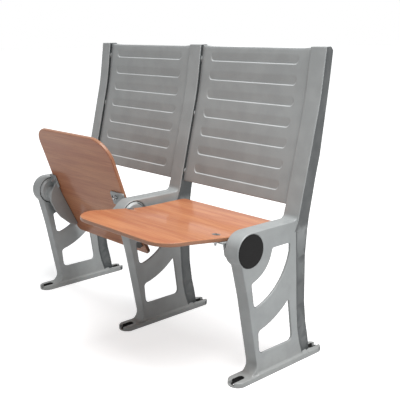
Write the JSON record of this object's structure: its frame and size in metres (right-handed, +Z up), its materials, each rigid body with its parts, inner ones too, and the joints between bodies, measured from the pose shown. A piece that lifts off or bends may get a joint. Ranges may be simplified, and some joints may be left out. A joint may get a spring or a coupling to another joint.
{
  "type": "stadium seat",
  "caption": "Row of tip-up plywood stadium seats between cast metal stanchions with open-work sides and grooved sheet backrests, bolted to the floor.",
  "frame": {"origin": "on the floor, in the middle of the middle stanchion's foot, halfway between its two floor bolt slots", "axes": "+X along the row, to the right of someone looking at the seats from in front; +Y from the front of the seats to their backs; +Z up"},
  "size_m": [1.161, 0.624, 0.974],
  "materials": {
    "cast_aluminium": "satin silver-grey lacquer on a sand casting",
    "pressed_aluminium": "satin silver-grey lacquer on pressed sheet",
    "varnished_plywood": "reddish-orange varnished plywood",
    "black_plastic": "moulded, fine matt grain",
    "black_rubber": "moulded rubber",
    "zinc_steel": "zinc-plated steel",
    "white_acetal": "turned plastic bush"
  },
  "bodies": {
    "frame": {"stanchion_left": "cast_aluminium", "stanchion_middle": "cast_aluminium", "stanchion_right": "cast_aluminium", "backrest_left": "pressed_aluminium", "hub_cap_left": "black_plastic", "backrest_right": "pressed_aluminium", "hub_cap_right": "black_plastic", "pivot_shaft_left": "zinc_steel", "pivot_shaft_middle": "zinc_steel", "pivot_shaft_right": "zinc_steel", "pivot_sleeve_middle": "zinc_steel", "shaft_washers": "zinc_steel", "shaft_nuts": "zinc_steel", "stop_pins": "zinc_steel", "backrest_screws": "zinc_steel", "stop_sleeves": "black_rubber", "hub_seals": "black_rubber", "floor_slot_liners": "black_rubber"},
    "seat_left": {"left_seat_board": "varnished_plywood", "left_seat_bracket_left": "cast_aluminium", "left_seat_bracket_right": "cast_aluminium", "left_seat_pivot_bushes": "white_acetal", "left_seat_bolts": "zinc_steel", "left_seat_nuts": "zinc_steel"},
    "seat_right": {"right_seat_board": "varnished_plywood", "right_seat_bracket_left": "cast_aluminium", "right_seat_bracket_right": "cast_aluminium", "right_seat_pivot_bushes": "white_acetal", "right_seat_bolts": "zinc_steel", "right_seat_nuts": "zinc_steel"}
  },
  "joints": [
    {"name": "left_seat_tip", "type": "hinge", "parent": "frame", "child": "seat_left", "pos_m": [-0.275, -0.14, 0.411], "axis": [-1, 0, 0], "range_deg": [-64, 0]},
    {"name": "right_seat_tip", "type": "hinge", "parent": "frame", "child": "seat_right", "pos_m": [0.275, -0.14, 0.411], "axis": [-1, 0, 0], "range_deg": [0, 64]}
  ]
}
